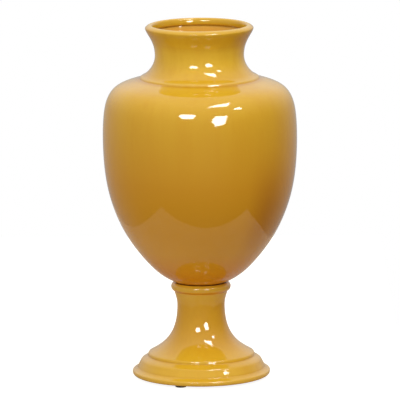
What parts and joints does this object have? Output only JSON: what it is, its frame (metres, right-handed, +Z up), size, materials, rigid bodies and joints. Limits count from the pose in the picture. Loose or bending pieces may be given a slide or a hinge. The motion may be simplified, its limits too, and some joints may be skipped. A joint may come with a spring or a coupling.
{
  "type": "ceramic vase",
  "caption": "Glazed pedestal vase: hollow shouldered body with a flared neck and rolled lip, clamped by one bolt to a hollow stepped pedestal on rubber pads.",
  "frame": {"origin": "centre of the vase's axis, on the surface that the foot pads stand on", "axes": "+Z up along the vase's axis, -Y towards the front"},
  "size_m": [0.223, 0.223, 0.4103],
  "materials": {
    "yellow_glaze": "gloss glaze",
    "black_rubber": "matt",
    "zinc_steel": "zinc plated"
  },
  "bodies": {
    "root": {"vase_body": "yellow_glaze", "pedestal": "yellow_glaze", "seat_gasket": "black_rubber", "tie_bolt": "zinc_steel", "bowl_seal_washer": "black_rubber", "bolt_head_washer": "zinc_steel", "deck_cushion_washer": "black_rubber", "clamp_washer": "zinc_steel", "spring_washer": "zinc_steel", "clamp_nut": "zinc_steel", "foot_pad_front": "black_rubber", "foot_pad_right": "black_rubber", "foot_pad_back": "black_rubber"}
  },
  "joints": []
}
